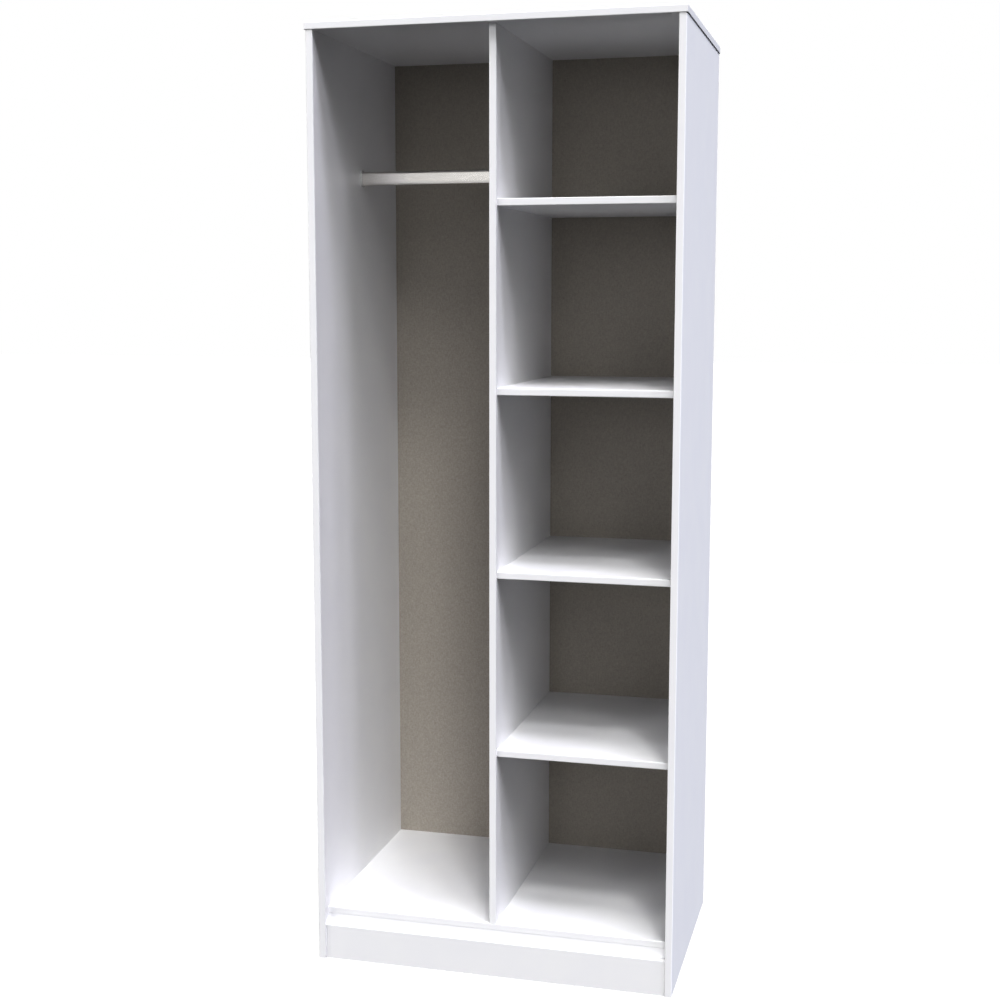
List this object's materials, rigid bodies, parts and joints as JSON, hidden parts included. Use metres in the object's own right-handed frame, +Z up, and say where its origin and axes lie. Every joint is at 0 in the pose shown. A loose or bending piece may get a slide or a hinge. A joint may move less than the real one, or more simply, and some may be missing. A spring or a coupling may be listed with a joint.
{
  "type": "open-front wardrobe",
  "caption": "Tall white open-front wardrobe with a hanging space and an oval rail on the left of a centre partition, stacked compartments on the right, and a plinth base.",
  "frame": {"origin": "on the floor, at the centre of the wardrobe's width and depth", "axes": "+Z up; +Y from the open front to the back panel; +X along the width, towards the shelves on the viewer's right"},
  "size_m": [0.772, 0.5305, 1.97],
  "materials": {
    "melamine": "white melamine-faced chipboard, satin",
    "edging": "white edging strip, satin",
    "linen_hardboard": "hardboard with a taupe linen print, matt",
    "rail_steel": "satin plated steel tube",
    "socket_zinc": "satin plated zinc casting",
    "beech_dowel": "bare beech",
    "fixing_steel": "zinc-plated steel"
  },
  "bodies": {
    "root": {"top_panel": "melamine", "left_side_panel": "melamine", "right_side_panel": "melamine", "centre_partition": "melamine", "base_panel": "melamine", "shelf_1": "melamine", "shelf_2": "melamine", "shelf_3": "melamine", "shelf_4": "melamine", "plinth_board": "melamine", "base_rail_front": "melamine", "base_rail_rear": "melamine", "top_front_edging": "edging", "top_end_edgings": "edging", "left_side_edging": "edging", "right_side_edging": "edging", "partition_edging": "edging", "base_edging": "edging", "shelf_edgings": "edging", "plinth_edging": "edging", "back_panel": "linen_hardboard", "hanging_rail": "rail_steel", "rail_socket_left": "socket_zinc", "rail_socket_right": "socket_zinc", "top_dowels": "beech_dowel", "base_dowels": "beech_dowel", "shelf_dowels": "beech_dowel", "rail_dowels": "beech_dowel", "rail_socket_screws": "fixing_steel", "plinth_screws": "fixing_steel", "back_panel_pins": "fixing_steel"}
  },
  "joints": []
}
